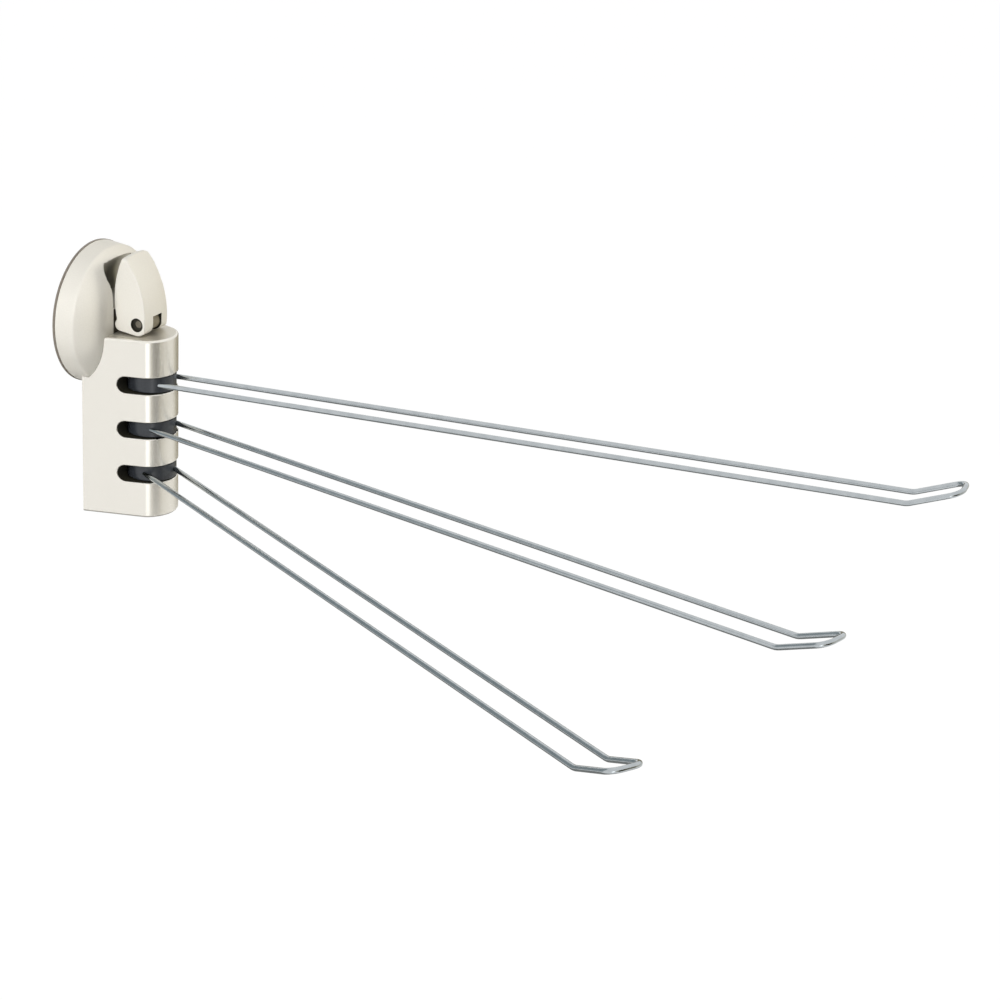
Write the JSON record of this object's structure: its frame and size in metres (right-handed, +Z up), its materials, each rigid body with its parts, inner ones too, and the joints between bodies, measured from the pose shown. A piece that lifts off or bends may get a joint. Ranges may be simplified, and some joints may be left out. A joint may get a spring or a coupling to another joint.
{
  "type": "dish towel holder",
  "caption": "Lever-locked suction-cup holder for dish towels, with swing arms of looped chrome wire that turn on one pin in a tapered housing.",
  "frame": {"origin": "centre of the suction cup's lip face, which lies on the wall", "axes": "+Y into the wall, -Y out into the room, +Z up, +X to the right seen from the front"},
  "size_m": [0.227, 0.3712, 0.1128],
  "materials": {
    "pearl_abs": "pearl champagne paint, satin gloss",
    "hub_plastic": "blue black, fine satin",
    "chrome_wire": "bright plated wire",
    "pin_steel": "turned steel",
    "soft_pvc": "soft translucent",
    "stem_plastic": "moulded acetal",
    "bumper_rubber": "soft matt",
    "washer_nylon": "natural nylon"
  },
  "bodies": {
    "wall_unit": {"suction_cup": "soft_pvc", "disc_cover": "pearl_abs", "cam_plate": "pin_steel", "housing": "pearl_abs", "back_plate": "pearl_abs", "wall_bumper": "bumper_rubber", "cover_screws": "pin_steel", "back_plate_screws": "pin_steel", "pivot_pin": "pin_steel", "hub_washer_top": "washer_nylon", "hub_washer_middle": "washer_nylon", "hub_washer_bottom": "washer_nylon"},
    "stem": {"cup_stem": "stem_plastic"},
    "lever_arm": {"lever": "pearl_abs", "lever_pin": "pin_steel"},
    "top_arm": {"arm_hub_top": "hub_plastic", "arm_wire_top": "chrome_wire"},
    "middle_arm": {"arm_hub_middle": "hub_plastic", "arm_wire_middle": "chrome_wire"},
    "bottom_arm": {"arm_hub_bottom": "hub_plastic", "arm_wire_bottom": "chrome_wire"}
  },
  "joints": [
    {"name": "stem_slide", "type": "slide", "parent": "wall_unit", "child": "stem", "axis": [0, 1, 0], "range_m": [0, 0.002], "deforming": ["suction_cup"]},
    {"name": "lever_hinge", "type": "hinge", "parent": "stem", "child": "lever_arm", "pos_m": [0, -0.0267, 0], "axis": [1, 0, 0], "range_deg": [0, 90]},
    {"name": "top_arm_swing", "type": "hinge", "parent": "wall_unit", "child": "top_arm", "pos_m": [0, -0.02866, -0.0249], "axis": [0, 0, 1], "range_deg": [-92.1, 77.9]},
    {"name": "middle_arm_swing", "type": "hinge", "parent": "wall_unit", "child": "middle_arm", "pos_m": [0, -0.02866, -0.04435], "axis": [0, 0, 1], "range_deg": [-71.9, 98.1]},
    {"name": "bottom_arm_swing", "type": "hinge", "parent": "wall_unit", "child": "bottom_arm", "pos_m": [0, -0.02866, -0.0638], "axis": [0, 0, 1], "range_deg": [-55, 115]}
  ],
  "couplings": [
    {"joint": "stem_slide", "follows": "lever_hinge", "m_per_rad": 0.00127}
  ]
}
